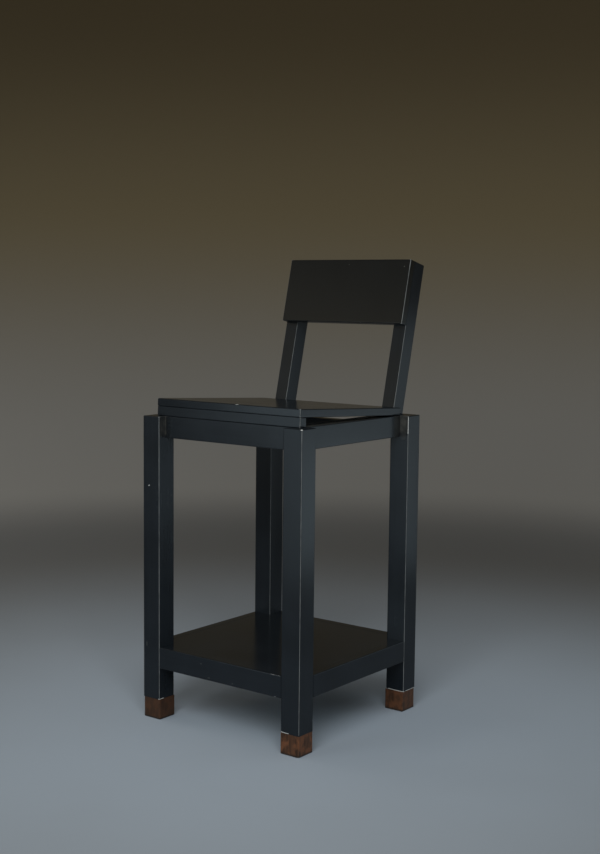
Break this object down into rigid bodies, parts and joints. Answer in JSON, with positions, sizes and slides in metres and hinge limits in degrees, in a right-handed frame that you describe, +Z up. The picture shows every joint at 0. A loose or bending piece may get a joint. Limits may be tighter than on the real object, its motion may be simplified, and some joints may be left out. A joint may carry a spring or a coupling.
{
  "type": "bar stool",
  "caption": "Square wooden bar stool with a low leaning back board, a gently sloping flat board seat, rails, a low foot shelf and block feet.",
  "frame": {"origin": "on the floor, under the middle of the stool's bounding box", "axes": "+Z up, -Y towards the front, where a sitter's knees go, +X to the right for someone who faces the stool's front"},
  "size_m": [0.46, 0.5462, 1.077],
  "materials": {
    "painted_wood": "satin near-black blue-grey paint, worn at the edges",
    "brown_wood": "satin lacquered reddish-brown hardwood",
    "bare_wood": "bare turned beech",
    "steel": "zinc-plated steel"
  },
  "bodies": {
    "root": {"leg_front_left": "painted_wood", "leg_front_right": "painted_wood", "leg_back_left": "painted_wood", "leg_back_right": "painted_wood", "upper_rail_front": "painted_wood", "upper_rail_back": "painted_wood", "upper_rail_left": "painted_wood", "upper_rail_right": "painted_wood", "lower_rail_front": "painted_wood", "lower_rail_back": "painted_wood", "lower_rail_left": "painted_wood", "lower_rail_right": "painted_wood", "shelf": "painted_wood", "shelf_cleat_front": "painted_wood", "shelf_cleat_back": "painted_wood", "shelf_cleat_left": "painted_wood", "shelf_cleat_right": "painted_wood", "seat": "painted_wood", "seat_batten_front": "painted_wood", "seat_cleat_left": "painted_wood", "seat_cleat_right": "painted_wood", "upright_left": "painted_wood", "upright_right": "painted_wood", "back_board": "painted_wood", "foot_front_left": "brown_wood", "foot_front_right": "brown_wood", "foot_back_left": "brown_wood", "foot_back_right": "brown_wood", "foot_dowel_front_left": "bare_wood", "foot_dowel_front_right": "bare_wood", "foot_dowel_back_left": "bare_wood", "foot_dowel_back_right": "bare_wood", "back_board_dowel_left_1": "bare_wood", "back_board_dowel_left_2": "bare_wood", "back_board_dowel_right_1": "bare_wood", "back_board_dowel_right_2": "bare_wood", "shelf_cleat_front_screw_1": "steel", "shelf_cleat_front_screw_2": "steel", "shelf_cleat_back_screw_1": "steel", "shelf_cleat_back_screw_2": "steel", "shelf_cleat_left_screw_1": "steel", "shelf_cleat_left_screw_2": "steel", "shelf_cleat_right_screw_1": "steel", "shelf_cleat_right_screw_2": "steel", "seat_screw_front_1": "steel", "seat_screw_front_2": "steel", "seat_screw_front_3": "steel", "seat_screw_back_left": "steel", "seat_screw_back_right": "steel", "seat_cleat_left_screw_1": "steel", "seat_cleat_left_screw_2": "steel", "seat_cleat_right_screw_1": "steel", "seat_cleat_right_screw_2": "steel", "upright_screw_left_1": "steel", "upright_screw_left_2": "steel", "upright_screw_right_1": "steel", "upright_screw_right_2": "steel"}
  },
  "joints": []
}
